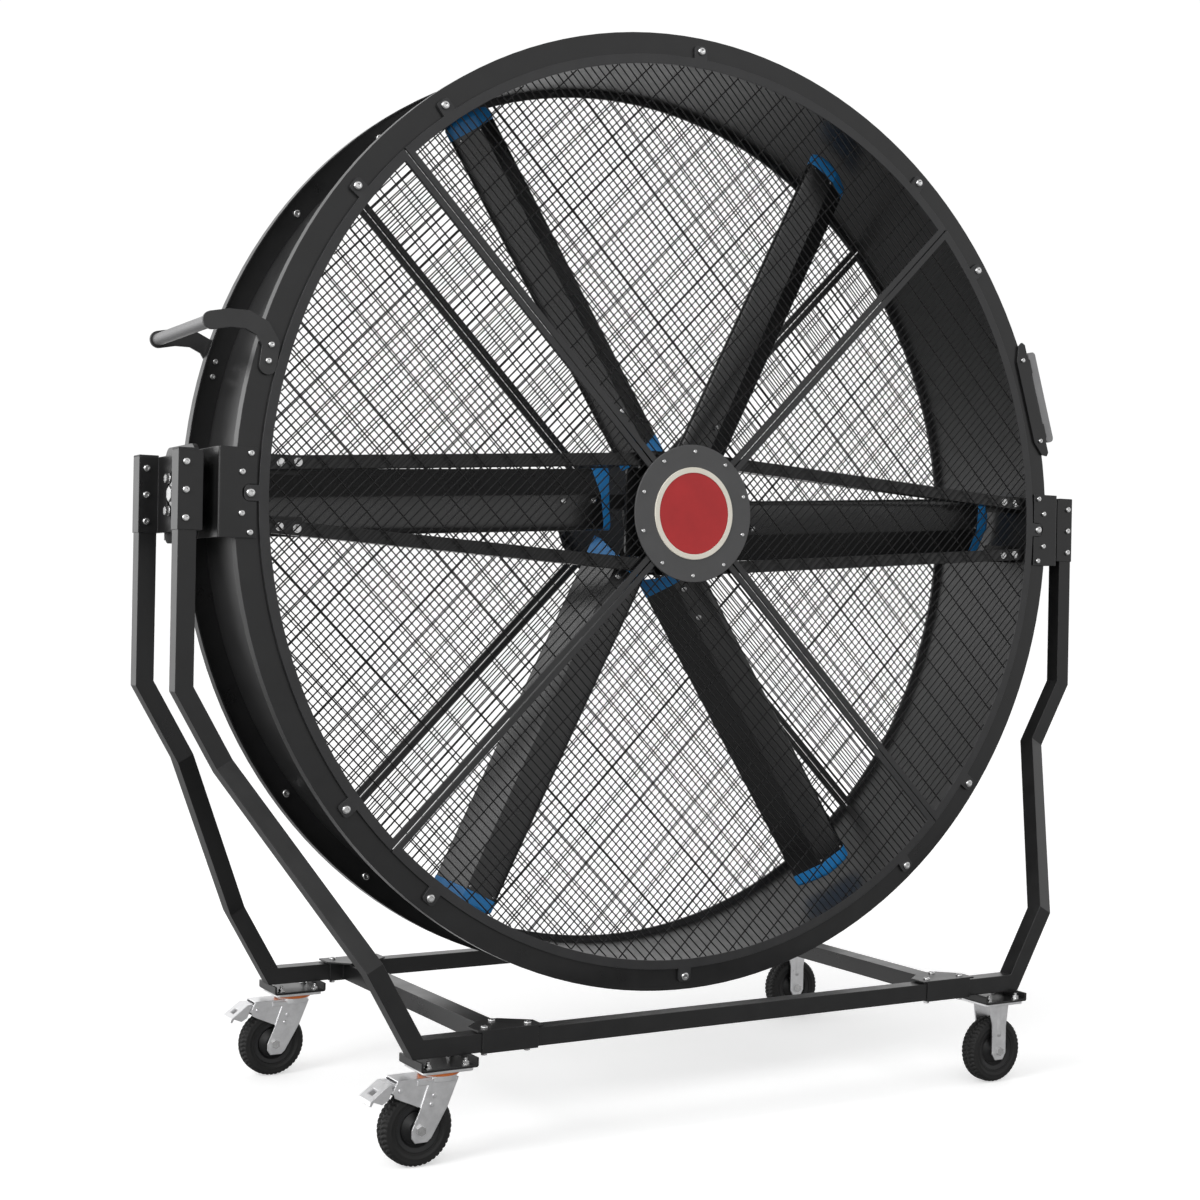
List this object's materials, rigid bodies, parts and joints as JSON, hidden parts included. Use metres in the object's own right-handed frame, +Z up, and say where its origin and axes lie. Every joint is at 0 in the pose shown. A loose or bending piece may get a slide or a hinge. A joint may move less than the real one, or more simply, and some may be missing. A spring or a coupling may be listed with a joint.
{
  "type": "portable drum fan",
  "caption": "Large drum fan with mesh guards and airfoil blades, tilting on a tubular stand with swivel and fixed casters, a push handle and a control box.",
  "frame": {"origin": "on the floor, below the middle of the drum, at the centre of the object's footprint", "axes": "+Z up, +Y along the rotor axis from the intake guard (the side seen in the picture) to the outlet guard, +X to the right along the tilt axis, from the swivel casters to the fixed casters"},
  "size_m": [2.532, 0.96, 2.55],
  "materials": {
    "frame_paint": "satin powder coat",
    "drum_paint": "semi-gloss powder coat",
    "guard_paint": "matte coat",
    "disc_grey": "matte coat",
    "tyre_rubber": "matte",
    "rim_black": "matte",
    "zinc_plate": "zinc plate",
    "bright_steel": "bright",
    "seal_orange": "satin",
    "cap_blue": "satin",
    "blade_black": "satin coat",
    "motor_black": "satin coat",
    "grip_grey": "satin",
    "plastic_black": "fine texture",
    "box_grey": "fine texture"
  },
  "bodies": {
    "stand": {"base_rails": "frame_paint", "caster_channels": "frame_paint", "cross_tube_left": "frame_paint", "cross_tube_right": "frame_paint", "leg_front_left": "frame_paint", "leg_front_right": "frame_paint", "leg_rear_left": "frame_paint", "leg_rear_right": "frame_paint", "pivot_yoke_left": "frame_paint", "pivot_yoke_right": "frame_paint", "post_caps": "plastic_black", "rigid_axles": "bright_steel", "rigid_forks": "zinc_plate", "stand_fasteners": "bright_steel", "swivel_seal_rings": "seal_orange", "swivel_top_plates": "zinc_plate"},
    "drum": {"drum_shell": "drum_paint", "flange_ring_front": "drum_paint", "flange_ring_rear": "drum_paint", "guard_frames_front": "guard_paint", "guard_frames_rear": "guard_paint", "guard_wires_front": "guard_paint", "guard_wires_rear": "guard_paint", "hub_discs": "disc_grey", "motor_beams": "drum_paint", "beam_clips": "drum_paint", "motor_plate": "drum_paint", "motor": "motor_black", "side_bracket_left": "drum_paint", "side_bracket_right": "drum_paint", "tilt_plate_left": "drum_paint", "tilt_plate_right": "drum_paint", "handle_arms": "drum_paint", "handle_grip": "grip_grey", "control_brackets": "drum_paint", "control_box": "box_grey", "cable_gland": "plastic_black", "drum_fasteners": "bright_steel"},
    "rotor": {"rotor_blades": "blade_black", "blade_end_caps": "cap_blue", "blade_bolts": "bright_steel", "rotor_hub": "motor_black", "rotor_shaft": "bright_steel"},
    "power_selector": {"power_selector": "plastic_black"},
    "speed_knob": {"speed_knob": "plastic_black"},
    "swivel_front": {"swivel_fork_front": "zinc_plate", "swivel_axle_front": "bright_steel"},
    "swivel_rear": {"swivel_fork_rear": "zinc_plate", "swivel_axle_rear": "bright_steel"},
    "brake_pedal_front": {"brake_pedal_front": "zinc_plate"},
    "brake_pedal_rear": {"brake_pedal_rear": "zinc_plate"},
    "wheel_front_left": {"tyre_front_left": "tyre_rubber", "wheel_rim_front_left": "rim_black"},
    "wheel_rear_left": {"tyre_rear_left": "tyre_rubber", "wheel_rim_rear_left": "rim_black"},
    "wheel_front_right": {"tyre_front_right": "tyre_rubber", "wheel_rim_front_right": "rim_black"},
    "wheel_rear_right": {"tyre_rear_right": "tyre_rubber", "wheel_rim_rear_right": "rim_black"}
  },
  "joints": [
    {"name": "drum_tilt", "type": "hinge", "parent": "stand", "child": "drum", "pos_m": [0, 0, 1.4], "axis": [1, 0, 0], "range_deg": [-25, 25]},
    {"name": "rotor_spin", "type": "hinge", "parent": "drum", "child": "rotor", "pos_m": [0, -0.025, 1.4], "axis": [0, 1, 0], "continuous": true},
    {"name": "power_selector_turn", "type": "hinge", "parent": "drum", "child": "power_selector", "pos_m": [1.12088, 0, 1.80819], "axis": [0.9521, 0, 0.3057], "range_deg": [-90, 0]},
    {"name": "speed_knob_turn", "type": "hinge", "parent": "drum", "child": "speed_knob", "pos_m": [1.14717, 0, 1.7263], "axis": [0.9521, 0, 0.3057], "range_deg": [-270, 0]},
    {"name": "swivel_front_turn", "type": "hinge", "parent": "stand", "child": "swivel_front", "pos_m": [-0.765, -0.424, 0.19], "axis": [0, 0, 1], "continuous": true},
    {"name": "wheel_front_left_roll", "type": "hinge", "parent": "swivel_front", "child": "wheel_front_left", "pos_m": [-0.819, -0.424, 0.08], "axis": [0, 1, 0], "continuous": true},
    {"name": "brake_pedal_front_press", "type": "hinge", "parent": "swivel_front", "child": "brake_pedal_front", "pos_m": [-0.865, -0.424, 0.166], "axis": [0, 1, 0], "range_deg": [-12, 0]},
    {"name": "wheel_front_right_roll", "type": "hinge", "parent": "stand", "child": "wheel_front_right", "pos_m": [0.765, -0.424, 0.08], "axis": [0, 1, 0], "continuous": true},
    {"name": "swivel_rear_turn", "type": "hinge", "parent": "stand", "child": "swivel_rear", "pos_m": [-0.765, 0.424, 0.19], "axis": [0, 0, 1], "continuous": true},
    {"name": "wheel_rear_left_roll", "type": "hinge", "parent": "swivel_rear", "child": "wheel_rear_left", "pos_m": [-0.819, 0.424, 0.08], "axis": [0, 1, 0], "continuous": true},
    {"name": "brake_pedal_rear_press", "type": "hinge", "parent": "swivel_rear", "child": "brake_pedal_rear", "pos_m": [-0.865, 0.424, 0.166], "axis": [0, 1, 0], "range_deg": [-12, 0]},
    {"name": "wheel_rear_right_roll", "type": "hinge", "parent": "stand", "child": "wheel_rear_right", "pos_m": [0.765, 0.424, 0.08], "axis": [0, 1, 0], "continuous": true}
  ]
}
